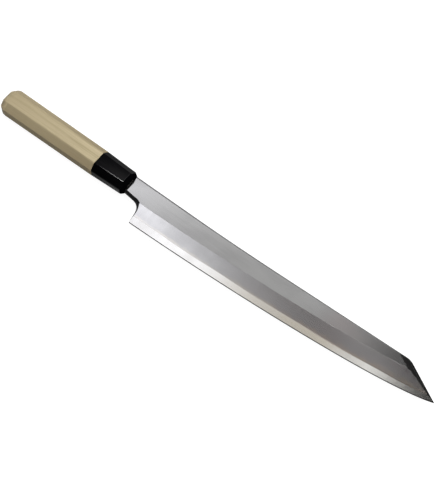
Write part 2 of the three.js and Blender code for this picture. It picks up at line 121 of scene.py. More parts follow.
class Graph:
    """The nodes of one shader, added and linked by short calls."""

    def __init__(self, tree: bpy.types.NodeTree) -> None:
        """Starts from the emptied tree of a material or of the world."""
        self.tree = tree
        tree.nodes.clear()

    def add(self, kind: str, **settings: object) -> bpy.types.Node:
        """Adds a node.

        Args:
            kind: The node's type name.
            **settings: Values for the node's own properties.

        Returns:
            The new node.
        """
        node = self.tree.nodes.new(kind)
        for name, value in settings.items():
            setattr(node, name, value)
        return node

    def feed(self, socket: bpy.types.NodeSocket, value: Feed) -> None:
        """Links a socket to an input, or sets a constant on it.

        Args:
            socket: The input to fill.
            value: Another node's output, or a number or colour.
        """
        if isinstance(value, bpy.types.NodeSocket):
            self.tree.links.new(value, socket)
        else:
            socket.default_value = value

    def axes(self) -> Tuple[bpy.types.NodeSocket, bpy.types.NodeSocket, bpy.types.NodeSocket]:
        """Splits the object coordinates.

        Returns:
            The object's own X, Y and Z.
        """
        where = self.add("ShaderNodeTexCoord")
        split = self.add("ShaderNodeSeparateXYZ")
        self.feed(split.inputs[0], where.outputs["Object"])
        return split.outputs[0], split.outputs[1], split.outputs[2]

    def noise(
        self, per_metre: Triple, detail: float = 2.0, roughness: float = 0.5, warp: float = 0.0
    ) -> bpy.types.NodeSocket:
        """Adds a noise pattern that is fixed to the piece.

        Args:
            per_metre: Pattern cells per metre along X, Y and Z.
            detail: Octaves of finer noise.
            roughness: How strong the finer octaves are.
            warp: How far the pattern is swirled.

        Returns:
            The noise's strength, from 0 to 1.
        """
        where = self.add("ShaderNodeTexCoord")
        mapping = self.add("ShaderNodeMapping")
        mapping.inputs["Scale"].default_value = per_metre
        self.feed(mapping.inputs["Vector"], where.outputs["Object"])
        node = self.add("ShaderNodeTexNoise")
        node.inputs["Scale"].default_value = 1.0
        node.inputs["Detail"].default_value = detail
        node.inputs["Roughness"].default_value = roughness
        node.inputs["Distortion"].default_value = warp
        self.feed(node.inputs["Vector"], mapping.outputs["Vector"])
        return node.outputs["Fac"]

    def span(
        self,
        value: Feed,
        low: float,
        high: float,
        to_low: float = 0.0,
        to_high: float = 1.0,
        soft: bool = True,
    ) -> bpy.types.NodeSocket:
        """Maps one range on to another and holds the ends.

        Args:
            value: What is mapped.
            low: Start of the range read.
            high: End of the range read.
            to_low: Result at the start.
            to_high: Result at the end.
            soft: True for eased ends.

        Returns:
            The mapped value.
        """
        node = self.add("ShaderNodeMapRange")
        node.interpolation_type = "SMOOTHSTEP" if soft else "LINEAR"
        for name, number in zip(("From Min", "From Max", "To Min", "To Max"), (low, high, to_low, to_high)):
            node.inputs[name].default_value = number
        self.feed(node.inputs["Value"], value)
        return node.outputs["Result"]

    def calc(self, operation: str, first: Feed, second: Feed = 0.0) -> bpy.types.NodeSocket:
        """Works out one or two values with a math node.

        Args:
            operation: The math node's operation.
            first: The first value.
            second: The second value, if the operation takes one.

        Returns:
            The result.
        """
        node = self.add("ShaderNodeMath", operation=operation)
        self.feed(node.inputs[0], first)
        self.feed(node.inputs[1], second)
        return node.outputs[0]

    def blend(self, share: Feed, first: Feed, second: Feed) -> bpy.types.NodeSocket:
        """Mixes two colours.

        Args:
            share: 0 for the first colour, 1 for the second.
            first: The first colour.
            second: The second colour.

        Returns:
            The mixed colour.
        """
        node = self.add("ShaderNodeMix", data_type="RGBA")
        ends = [socket for socket in node.inputs if socket.type == "RGBA"]
        self.feed(node.inputs["Factor"], share)
        for socket, colour in zip(ends, (first, second)):
            self.feed(socket, colour if isinstance(colour, bpy.types.NodeSocket) else (*colour, 1.0))
        return next(socket for socket in node.outputs if socket.type == "RGBA")

    def bump(self, height: Feed, depth: float) -> bpy.types.NodeSocket:
        """Turns a pattern into fine relief.

        Args:
            height: The pattern, from 0 to 1.
            depth: Height of the relief in metres.

        Returns:
            The surface's bent normal.
        """
        node = self.add("ShaderNodeBump")
        node.inputs["Strength"].default_value = 1.0
        node.inputs["Distance"].default_value = depth
        self.feed(node.inputs["Height"], height)
        return node.outputs["Normal"]

    def surface(self, **sockets: Feed) -> None:
        """Ends the shader in a principled surface.

        Args:
            **sockets: The surface's inputs, with underscores for the spaces in their names.
        """
        body = self.add("ShaderNodeBsdfPrincipled")
        for name, value in sockets.items():
            self.feed(body.inputs[name.replace("_", " ")], value)
        out = self.add("ShaderNodeOutputMaterial")
        self.feed(out.inputs["Surface"], body.outputs["BSDF"])


@dataclass(frozen=True)
class Finish(ABC):
    """A surface finish that can be made into a material."""

    name: str

    @abstractmethod
    def paint(self, graph: Graph) -> None:
        """Adds the finish's nodes to a material's graph."""

    def material(self) -> bpy.types.Material:
        """Makes the finish's material.

        Returns:
            The material.
        """
        made = bpy.data.materials.new(self.name)
        made.use_nodes = True
        self.paint(Graph(made.node_tree))
        return made


@dataclass(frozen=True)
class StonedSteel(Finish):
    """Steel with the fine parallel scratches of a stone and faint clouds between them."""

    FINE_RUN: ClassVar[float] = 0.02
    BROAD_RUN: ClassVar[float] = 0.05
    BROAD_PITCHES: ClassVar[float] = 6.0
    CLOUD_SQUASH: ClassVar[float] = 1.5
    STREAK_SHARE: ClassVar[float] = 0.55

    pale: Triple
    dark: Triple
    scratches: Axis
    scratch_pitch: float
    cloud_size: float
    gloss_rough: float
    dull_rough: float
    scratch_depth: float

    def stretched(self, pitch: float, run: float) -> Triple:
        """Gives the cells per metre of streaks of one pitch and run that follow the scratches."""
        fine, coarse = 1.0 / pitch, 1.0 / run
        return (coarse, fine, fine) if self.scratches is Axis.LENGTH else (fine, coarse, coarse)

    def streaks(self, graph: Graph) -> bpy.types.NodeSocket:
        """Gives the scratch pattern, coarse and fine streaks together.

        Args:
            graph: The material's nodes.

        Returns:
            The pattern's strength, from 0 to 1.
        """
        broad_pitch = self.scratch_pitch * self.BROAD_PITCHES
        fine = graph.noise(self.stretched(self.scratch_pitch, self.FINE_RUN), detail=3.0, roughness=0.6)
        broad = graph.noise(self.stretched(broad_pitch, self.BROAD_RUN))
        return graph.calc("MULTIPLY", graph.calc("ADD", fine, broad), 0.5)

    def clouds(self, graph: Graph) -> bpy.types.NodeSocket:
        """Gives the soft clouds that wiping and stoning leave.

        Args:
            graph: The material's nodes.

        Returns:
            The clouds' strength, from 0 to 1.
        """
        cell = 1.0 / self.cloud_size
        wiped = (cell, cell * self.CLOUD_SQUASH, cell)
        return graph.span(graph.noise(wiped, detail=1.5, roughness=0.45, warp=0.3), *NOISE_BODY)

    def colour(self, graph: Graph, streak: Feed, cloud: Feed) -> Feed:
        """Gives the metal's colour.

        Args:
            graph: The material's nodes.
            streak: The scratch pattern.
            cloud: The cloud pattern.

        Returns:
            The colour.
        """
        marks = graph.calc("MULTIPLY", streak, self.STREAK_SHARE)
        haze = graph.calc("MULTIPLY", cloud, 1.0 - self.STREAK_SHARE)
        tone = graph.calc("ADD", marks, haze)
        return graph.blend(graph.span(tone, *NOISE_BODY), self.dark, self.pale)

    def paint(self, graph: Graph) -> None:
        """Adds the steel's nodes.

        Args:
            graph: The material's nodes.
        """
        streak = self.streaks(graph)
        cloud = self.clouds(graph)
        rough = graph.span(cloud, 0.0, 1.0, self.dull_rough, self.gloss_rough, False)
        graph.surface(
            Base_Color=self.colour(graph, streak, cloud),
            Metallic=1.0,
            Roughness=rough,
            Normal=graph.bump(streak, self.scratch_depth),
        )


@dataclass(frozen=True)
class TarnishedSteel(StonedSteel):
    """Stoned steel that has warmed in soft patches over part of its length."""

    PATCHES_PER_METRE: ClassVar[Triple] = (26.0, 60.0, 60.0)
    THINNEST_PATCH: ClassVar[float] = 0.4
    SHARE_LEFT: ClassVar[float] = 0.3

    tarnish: Triple
    tarnish_share: float
    tarnish_start: Pair
    tarnish_end: Pair

    def colour(self, graph: Graph, streak: Feed, cloud: Feed) -> Feed:
        """Gives the metal's colour with the tarnish over it.

        Args:
            graph: The material's nodes.
            streak: The scratch pattern.
            cloud: The cloud pattern.

        Returns:
            The colour.
        """
        metal = super().colour(graph, streak, cloud)
        along, _, _ = graph.axes()
        start = graph.span(along, *self.tarnish_start, 0.0, self.tarnish_share)
        end = graph.span(along, *self.tarnish_end, 1.0, self.SHARE_LEFT)
        wander = graph.noise(self.PATCHES_PER_METRE, detail=1.0, roughness=0.4, warp=0.3)
        patches = graph.span(wander, *NOISE_BODY, self.THINNEST_PATCH, 1.0)
        share = graph.calc("MULTIPLY", patches, graph.calc("MULTIPLY", start, end))
        return graph.blend(share, metal, self.tarnish)


@dataclass(frozen=True)
class MistSteel(TarnishedSteel):
    """The soft iron of the bevel, hazed by natural stones, misty where it meets the hard steel."""

    WAVES_PER_METRE: ClassVar[Triple] = (140.0, 250.0, 250.0)
    WAVE_REACH: ClassVar[float] = 1.5
    MIST_SHARE: ClassVar[float] = 0.8

    mist: Triple
    stain: Triple
    weld_heel: Pair
    weld_tip: Pair
    mist_height: float

    def above_weld(self, graph: Graph) -> bpy.types.NodeSocket:
        """Gives the height over the weld between the two steels, which wanders a little.

        Args:
            graph: The material's nodes.

        Returns:
            The height in metres.
        """
        along, _, height = graph.axes()
        heel, tip = self.weld_heel, self.weld_tip
        weld = graph.span(along, heel[0], tip[0], heel[1], tip[1], False)
        wander = graph.noise(self.WAVES_PER_METRE, detail=3.0, roughness=0.6)
        reach = self.mist_height * self.WAVE_REACH
        drift = graph.calc("MULTIPLY", graph.calc("SUBTRACT", wander, 0.5), reach)
        return graph.calc("ADD", graph.calc("SUBTRACT", height, weld), drift)

    def colour(self, graph: Graph, streak: Feed, cloud: Feed) -> Feed:
        """Gives the hazed iron's colour, with the mist over it.

        Args:
            graph: The material's nodes.
            streak: The scratch pattern.
            cloud: The cloud pattern.

        Returns:
            The colour.
        """
        iron = super().colour(graph, streak, cloud)
        along, _, _ = graph.axes()
        haze = graph.blend(graph.span(along, *self.tarnish_start), self.mist, self.stain)
        misty = graph.span(self.above_weld(graph), 0.0, self.mist_height, self.MIST_SHARE, 0.0)
        return graph.blend(misty, iron, haze)


@dataclass(frozen=True)
class ForgeScale(Finish):
    """The thin black oxide that the forge leaves where the blade isn't ground."""

    GRAIN_PER_METRE: ClassVar[Triple] = (900.0, 900.0, 900.0)
    BLOTCHES_PER_METRE: ClassVar[Triple] = (160.0, 160.0, 160.0)
    BLOTCH_TONES: ClassVar[Pair] = (0.45, 0.8)
    ROUGH_SPREAD: ClassVar[float] = 0.14
    SHEEN: ClassVar[float] = 0.15
    RELIEF: ClassVar[float] = 0.00002

    black: Triple
    worn: Triple
    rough: float

    def paint(self, graph: Graph) -> None:
        """Adds the scale's nodes.

        Args:
            graph: The material's nodes.
        """
        grain = graph.noise(self.GRAIN_PER_METRE, detail=4.0, roughness=0.65)
        blotch = graph.noise(self.BLOTCHES_PER_METRE, detail=3.0, roughness=0.6)
        graph.surface(
            Base_Color=graph.blend(graph.span(blotch, *self.BLOTCH_TONES), self.black, self.worn),
            Roughness=graph.span(grain, *NOISE_CORE, self.rough, self.rough + self.ROUGH_SPREAD, False),
            Specular_IOR_Level=self.SHEEN,
            Normal=graph.bump(grain, self.RELIEF),
        )


@dataclass(frozen=True)
class BuffaloHorn(Finish):
    """Black horn with faint paler fibres along it, its polish changing across and along it."""

    FIBRES_PER_METRE: ClassVar[Triple] = (45.0, 1500.0, 1500.0)
    FIBRE_TONES: ClassVar[Pair] = (0.55, 0.85)
    HAZE_PER_METRE: ClassVar[Triple] = (60.0, 110.0, 110.0)
    HAZE_TONES: ClassVar[Pair] = (0.4, 0.7)
    ROUGH_SPREAD: ClassVar[float] = 0.07
    RELIEF: ClassVar[float] = 0.000006

    black: Triple
    fibre: Triple
    rough: float
    shine: float
    across: Pair
    across_polish: Pair
    along: Pair
    along_polish: Pair
    polish_ior: float

    def paint(self, graph: Graph) -> None:
        """Adds the horn's nodes.

        Args:
            graph: The material's nodes.
        """
        fibres = graph.noise(self.FIBRES_PER_METRE, detail=4.0, roughness=0.6, warp=0.3)
        haze = graph.noise(self.HAZE_PER_METRE, detail=3.0)
        pale, clear = graph.span(fibres, *self.FIBRE_TONES), graph.span(haze, *self.HAZE_TONES)
        along, across, _ = graph.axes()
        by_side = graph.span(across, *self.across, *self.across_polish)
        by_length = graph.span(along, *self.along, *self.along_polish)
        graph.surface(
            Base_Color=graph.blend(graph.calc("MULTIPLY", pale, clear), self.black, self.fibre),
            Roughness=graph.span(haze, *NOISE_CORE, self.rough, self.rough + self.ROUGH_SPREAD, False),
            Specular_IOR_Level=self.shine,
            Coat_Weight=graph.calc("MULTIPLY", by_side, by_length),
            Coat_Roughness=self.rough,
            Coat_IOR=self.polish_ior,
            Normal=graph.bump(fibres, self.RELIEF),
        )


@dataclass(frozen=True)
class Magnolia(Finish):
    """Bare sanded magnolia: pale, slightly green, with soft growth layers, fine fibres and end grain;
    painted shade darkens it towards the butt, and its top and bottom flanks are darker.
    """

    SWAY_PER_METRE: ClassVar[Triple] = (9.0, 30.0, 30.0)
    SWAY: ClassVar[float] = 0.006
    RING_SLANT: ClassVar[float] = 0.02
    RING_SHARE: ClassVar[float] = 0.2
    LATE_WOOD: ClassVar[Pair] = (0.35, 0.93)
    RING_END: ClassVar[Pair] = (0.93, 1.0)
    FIBRES_PER_METRE: ClassVar[Triple] = (38.0, 2600.0, 2600.0)
    FIBRE_TONES: ClassVar[Pair] = (0.45, 0.8)
    STREAKS_PER_METRE: ClassVar[Triple] = (24.0, 750.0, 750.0)
    STREAK_TONES: ClassVar[Pair] = (0.45, 0.75)
    BANDS_PER_METRE: ClassVar[Triple] = (7.0, 240.0, 240.0)
    LAYER_TONES: ClassVar[Pair] = (0.2, 0.75)
    PORES_PER_METRE: ClassVar[Triple] = (260.0, 4200.0, 4200.0)
    PORE_TONES: ClassVar[Pair] = (0.62, 0.74)
    STREAK_SHARES: ClassVar[Pair] = (0.35, 0.55)
    FLECK_SHARE: ClassVar[float] = 0.4
    # Painted shade towards the butt: share of the end colour at the butt and at the ferrule.
    PAINTED_BUTT_SHADE_SHARES: ClassVar[Pair] = (0.52, 0.0)
    # How much darker the top and bottom flanks are at the butt and at the ferrule.
    FLANK_DARKENING_SHARES: ClassVar[Pair] = (0.3, 1.0)
    # Darkening of faces turned towards the butt: the end grain's own colour, deepened by painted shade on
    # the rounded butt.
    BUTT_SHARE: ClassVar[float] = 0.6
    BUTT_LEAN: ClassVar[Pair] = (-0.55, -0.95)
    ROUGH: ClassVar[Pair] = (0.52, 0.66)
    SHEEN: ClassVar[float] = 0.3
    RELIEF: ClassVar[float] = 0.00003

    pale: Triple
    layer: Triple
    fleck: Triple
    # Dark brown of the end grain, also used for the painted shade towards the butt and for the darker
    # flanks.
    end: Triple
    heart: Pair
    reach: Pair
    middle: float
    flanks: Pair
    ring_pitch: float

    def rings(self, graph: Graph) -> bpy.types.NodeSocket:
        """Gives the growth layers, cut slightly off the log's axis.

        Args:
            graph: The material's nodes.

        Returns:
            The layers' strength, from 0 to 1.
        """
        along, across, height = graph.axes()
        sway = graph.noise(self.SWAY_PER_METRE)
        drift = graph.calc("MULTIPLY", graph.calc("SUBTRACT", sway, 0.5), self.SWAY)
        side = graph.calc("SUBTRACT", across, self.heart[0])
        up = graph.calc("SUBTRACT", height, self.heart[1])
        square = graph.calc("ADD", graph.calc("MULTIPLY", side, side), graph.calc("MULTIPLY", up, up))
        radius = graph.calc("ADD", graph.calc("SQRT", square), drift)
        slant = graph.calc("ADD", radius, graph.calc("MULTIPLY", along, self.RING_SLANT))
        turn = graph.calc("FRACT", graph.calc("DIVIDE", slant, self.ring_pitch))
        late = graph.span(turn, *self.LATE_WOOD)
        early = graph.span(turn, *self.RING_END, 1.0, 0.0)
        return graph.calc("MULTIPLY", late, early)

    def grain(self, graph: Graph, fibre: Feed, along: Feed) -> bpy.types.NodeSocket:
        """Gives the sanded wood's colour, before the painted shade towards the butt and the darker flanks
        are laid over it.

        Args:
            graph: The material's nodes.
            fibre: The fine fibres.
            along: The place along the grip.

        Returns:
            The colour.
        """
        streak = graph.noise(self.STREAKS_PER_METRE, detail=3.0, roughness=0.6, warp=0.1)
        band = graph.noise(self.BANDS_PER_METRE, detail=3.0, roughness=0.55, warp=0.2)
        pore = graph.noise(self.PORES_PER_METRE)
        rings = graph.calc("MULTIPLY", self.rings(graph), self.RING_SHARE)
        tone = graph.calc("ADD", rings, graph.calc("MULTIPLY", band, 1.0 - self.RING_SHARE))
        shade = graph.blend(graph.span(tone, *self.LAYER_TONES), self.pale, self.layer)
        bold = graph.span(along, *self.reach, *self.STREAK_SHARES)
        streaky = graph.calc("MULTIPLY", graph.span(streak, *self.STREAK_TONES), bold)
        fibrous = graph.span(fibre, *self.FIBRE_TONES, 0.0, self.FLECK_SHARE)
        porous = graph.span(pore, *self.PORE_TONES, 0.0, self.FLECK_SHARE)
        for share in (streaky, fibrous, porous):
            shade = graph.blend(share, shade, self.fleck)
        return shade

    def paint(self, graph: Graph) -> None:
        """Adds the wood's nodes.

        Args:
            graph: The material's nodes.
        """
        fibre = graph.noise(self.FIBRES_PER_METRE, detail=4.0, roughness=0.65)
        along, across, _ = graph.axes()
        # Painted shade: the end colour darkens the wood towards the butt, in place of light falling off
        # along the grip.
        painted_butt_shade = graph.span(along, *self.reach, *self.PAINTED_BUTT_SHADE_SHARES)
        shaded_to_butt = graph.blend(painted_butt_shade, self.grain(graph, fibre, along), self.end)
        # Darker towards the top and bottom flanks, more so towards the ferrule.
        off_middle = graph.calc("ABSOLUTE", graph.calc("SUBTRACT", across, self.middle))
        flank = graph.span(off_middle, *self.flanks)
        darker_flanks = graph.calc("MULTIPLY", flank, graph.span(along, *self.reach, *self.FLANK_DARKENING_SHARES))
        worn = graph.blend(darker_flanks, shaded_to_butt, self.end)
        # Faces turned towards the butt take the end colour: end grain, deepened by painted shade on the
        # rounded butt.
        facing = graph.add("ShaderNodeNewGeometry")
        split = graph.add("ShaderNodeSeparateXYZ")
        graph.feed(split.inputs[0], facing.outputs["Normal"])
        butt = graph.span(split.outputs[0], *self.BUTT_LEAN, 0.0, self.BUTT_SHARE)
        graph.surface(
            Base_Color=graph.blend(butt, worn, self.end),
            Roughness=graph.span(fibre, *NOISE_CORE, *self.ROUGH, False),
            Specular_IOR_Level=self.SHEEN,
            Normal=graph.bump(fibre, self.RELIEF),
        )


@dataclass(frozen=True)
class DarkResin(Finish):
    """The dark resin that seals the ferrule's mouth."""

    CLOUDS_PER_METRE: ClassVar[Triple] = (500.0, 500.0, 500.0)
    ROUGH: ClassVar[Pair] = (0.6, 0.75)
    SHEEN: ClassVar[float] = 0.1
    RELIEF: ClassVar[float] = 0.00004

    dark: Triple
    warm: Triple

    def paint(self, graph: Graph) -> None:
        """Adds the resin's nodes.

        Args:
            graph: The material's nodes.
        """
        cloud = graph.noise(self.CLOUDS_PER_METRE, detail=3.0, roughness=0.6)
        graph.surface(
            Base_Color=graph.blend(cloud, self.dark, self.warm),
            Roughness=graph.span(cloud, *NOISE_CORE, *self.ROUGH, False),
            Specular_IOR_Level=self.SHEEN,
            Normal=graph.bump(cloud, self.RELIEF),
        )


class Bench:
    """The hand tools that the pieces are made with."""

    @staticmethod
    def copy_of(node: str, name: str) -> bpy.types.Object:
        """Copies a CAD node and closes its loose triangles into one skin.

        Args:
            node: The CAD node.
            name: The new piece's name.

        Returns:
            The copy, with no material and all its faces flat.
        """
        bpy.ops.object.select_all(action="DESELECT")
        source = frame["nodes"][node]
        source.select_set(True)
        bpy.context.view_layer.objects.active = source
        bpy.ops.object.duplicate()
        piece = bpy.context.view_layer.objects.active
        piece.name = name
        piece.data.name = name
        del piece["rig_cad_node"]
        piece.data.materials.clear()
        bpy.ops.mesh.customdata_custom_splitnormals_clear()
        bpy.ops.object.mode_set(mode="EDIT")
        bpy.ops.mesh.select_all(action="SELECT")
        bpy.ops.mesh.remove_doubles(threshold=MERGE_DISTANCE)
        bpy.ops.mesh.mark_sharp(clear=True)
        bpy.ops.object.mode_set(mode="OBJECT")
        return piece

    @staticmethod
    def deselect(kind: str) -> None:
        """Clears the active piece's selection.

        Args:
            kind: What is selected next, FACE or EDGE.
        """
        bpy.ops.object.mode_set(mode="EDIT")
        bpy.ops.mesh.select_mode(type=kind)
        bpy.ops.mesh.select_all(action="DESELECT")
        bpy.ops.object.mode_set(mode="OBJECT")

    @staticmethod
    def largest(piece: bpy.types.Object, slot: int) -> bpy.types.MeshPolygon:
        """Finds the largest face of the region in one material slot."""
        flats = [face for face in piece.data.polygons if face.material_index == slot]
        return max(flats, key=lambda face: face.area)

    @staticmethod
    def flatten(degrees: float) -> None:
        """Joins the triangles of each flat facet of the active piece into one face.

        Args:
            degrees: The largest angle that still counts as flat.
        """
        bpy.ops.object.mode_set(mode="EDIT")
        bpy.ops.mesh.select_all(action="SELECT")
        bpy.ops.mesh.dissolve_limited(angle_limit=math.radians(degrees))
        bpy.ops.object.mode_set(mode="OBJECT")

    @staticmethod
    def level(piece: bpy.types.Object, slot: int, degrees: float) -> None:
        """Joins the nearly flat faces of one region.

        Args:
            piece: The active piece.
            slot: The region's material slot.
            degrees: The largest angle that still counts as flat.
        """
        Bench.deselect("FACE")
        for face in piece.data.polygons:
            face.select = face.material_index == slot
        bpy.ops.object.mode_set(mode="EDIT")
        bpy.ops.mesh.dissolve_limited(angle_limit=math.radians(degrees))
        bpy.ops.object.mode_set(mode="OBJECT")

    @staticmethod
    def ease(
        piece: bpy.types.Object, degrees: float, reach: float, width: float, steps: int, slot: int = -1
    ) -> None:
        """Takes the sharpness off the long edges of an octagon, along the handle.

        Args:
            piece: The active piece.
            degrees: The angle from which an edge is eased.
            reach: The shortest edge that is eased.
            width: Width of the eased strip on each side of the edge.
            steps: Facets across the eased edge.
            slot: The material slot of the eased strip, or -1 for that of the faces beside it.
        """
        Bench.deselect("EDGE")
        bpy.ops.object.mode_set(mode="EDIT")
        bpy.ops.mesh.edges_select_sharp(sharpness=math.radians(degrees))
        bpy.ops.object.mode_set(mode="OBJECT")
        corners = piece.data.vertices
        for edge in piece.data.edges:
            start, end = (corners[index].co for index in edge.vertices)
            edge.select = edge.select and abs(end.x - start.x) > reach
        bpy.ops.object.mode_set(mode="EDIT")
        bpy.ops.mesh.bevel(
            offset=width, segments=steps, profile=0.5, affect="EDGES", clamp_overlap=False, material=slot
        )
        bpy.ops.object.mode_set(mode="OBJECT")

    @staticmethod
    def smooth(piece: bpy.types.Object, degrees: float) -> None:
        """Shades the active piece smooth up to an angle, with the large facets kept flat."""
        bpy.ops.object.shade_smooth_by_angle(angle=math.radians(degrees))
        Bench.weigh_normals(piece, 100)

    @staticmethod
    def weigh_normals(piece: bpy.types.Object, weight: int) -> None:
        """Lets the larger or stronger face at each corner set its normal.

        Args:
            piece: The active piece.
            weight: 50 for faces that count by their area, 100 for the largest alone.
        """
        weigh = piece.modifiers.new("facets", "WEIGHTED_NORMAL")
        weigh.mode = "FACE_AREA"
        weigh.weight = weight
        weigh.keep_sharp = True
        weigh.use_face_influence = True
        bpy.ops.object.modifier_apply(modifier=weigh.name)

    @staticmethod
    def strengthen(piece: bpy.types.Object, slot: int) -> None:
        """Marks the largest face of a region as the one that sets the normals round it.

        Args:
            piece: The active piece.
            slot: The region's material slot.
        """
        Bench.deselect("FACE")
        Bench.largest(piece, slot).select = True
        bpy.ops.object.mode_set(mode="EDIT")
        bpy.ops.mesh.mod_weighted_strength(set=True, face_strength="STRONG")
        bpy.ops.object.mode_set(mode="OBJECT")

    @staticmethod
    def dress(piece: bpy.types.Object, finishes: Iterable[Finish]) -> None:
        """Gives a piece one material slot for each finish, in their order."""
        for finish in finishes:
            piece.data.materials.append(finish.material())

    @staticmethod
    def borders(piece: bpy.types.Object) -> Borders:
        """Gives the faces that meet at each edge.

        Args:
            piece: The piece.

        Returns:
            The faces beside each edge, by the edge's key.
        """
        beside: Borders = {}
        for face in piece.data.polygons:
            for key in face.edge_keys:
                beside.setdefault(key, []).append(face)
        return beside

    @staticmethod
    def burnish(piece: bpy.types.Object, meeting: Sequence[int], slot: int, width: float) -> None:
        """Rubs the ridge round the largest face of a region down to a narrow strip.

        Args:
            piece: The active piece.
            meeting: The material slots of the face and of the region beyond the ridge.
            slot: The material slot of the strip.
            width: Width of the strip on each side of the ridge.
        """
        Bench.deselect("EDGE")
        beside = Bench.borders(piece)
        ridged = set(Bench.largest(piece, meeting[0]).edge_keys)
        for edge in piece.data.edges:
            slots = {face.material_index for face in beside[edge.key]}
            edge.select = edge.key in ridged and slots == set(meeting)
        bpy.ops.object.mode_set(mode="EDIT")
        bpy.ops.mesh.bevel(offset=width, segments=1, affect="EDGES", clamp_overlap=False, material=slot)
        bpy.ops.object.mode_set(mode="OBJECT")

    @staticmethod
    def crease(piece: bpy.types.Object, joined: Sequence[FrozenSet[int]], degrees: float) -> None:
        """Shades a piece smooth inside its regions and crisp at their borders and at steep edges.

        Args:
            piece: The active piece.
            joined: Pairs of material slots that flow into each other.
            degrees: The angle from which an edge is crisp anyway.
        """
        beside = Bench.borders(piece)
        for edge in piece.data.edges:
            faces = beside[edge.key]
            slots = frozenset(face.material_index for face in faces)
            steep = faces[0].normal.angle(faces[-1].normal) > math.radians(degrees)
            edge.use_edge_sharp = steep or (len(slots) > 1 and slots not in joined)
        bpy.ops.object.shade_smooth(keep_sharp_edges=True)
        Bench.weigh_normals(piece, 50)

    @staticmethod
    def hand_over(piece: bpy.types.Object, node: str, slot: str) -> None:
        """Puts a finished piece in its CAD node's stead.

        Args:
            piece: The finished piece.
            node: The CAD node that it stands for.
            slot: The record's material slot; not used.
        """
        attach(piece, BODY)
        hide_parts(node)


HONED_EDGE = StonedSteel(
    name="honed_edge",
    pale=(0.42, 0.41, 0.4),
    dark=(0.33, 0.32, 0.31),
    scratches=Axis.ACROSS,
    scratch_pitch=0.0002,
    cloud_size=0.02,
    gloss_rough=0.12,
    dull_rough=0.16,
    scratch_depth=0.000001,
)
HOLLOW_BACK = StonedSteel(
    name="hollow_ground_back",
    pale=(0.7, 0.7, 0.7),
    dark=(0.6, 0.6, 0.6),
    scratches=Axis.ACROSS,
    scratch_pitch=0.0005,
    cloud_size=0.04,
    gloss_rough=0.2,
    dull_rough=0.28,
    scratch_depth=0.000004,
)
SPINE_IRON = StonedSteel(
    name="rubbed_spine_iron",
    pale=(0.5, 0.5, 0.51),
    dark=(0.38, 0.38, 0.39),
    scratches=Axis.LENGTH,
    scratch_pitch=0.0004,
    cloud_size=0.02,
    gloss_rough=0.25,
    dull_rough=0.35,
    scratch_depth=0.000004,
)
BURNISHED_RIDGE = replace(
    SPINE_IRON,
    name="burnished_ridge",
    pale=(0.75, 0.74, 0.73),
    dark=(0.69, 0.68, 0.67),
    gloss_rough=0.24,
    dull_rough=0.28,
    scratch_depth=0.000001,
)
CHOIL_SCALE = ForgeScale(
    name="forge_scale", black=(0.006, 0.006, 0.0065), worn=(0.014, 0.013, 0.013), rough=0.5
)


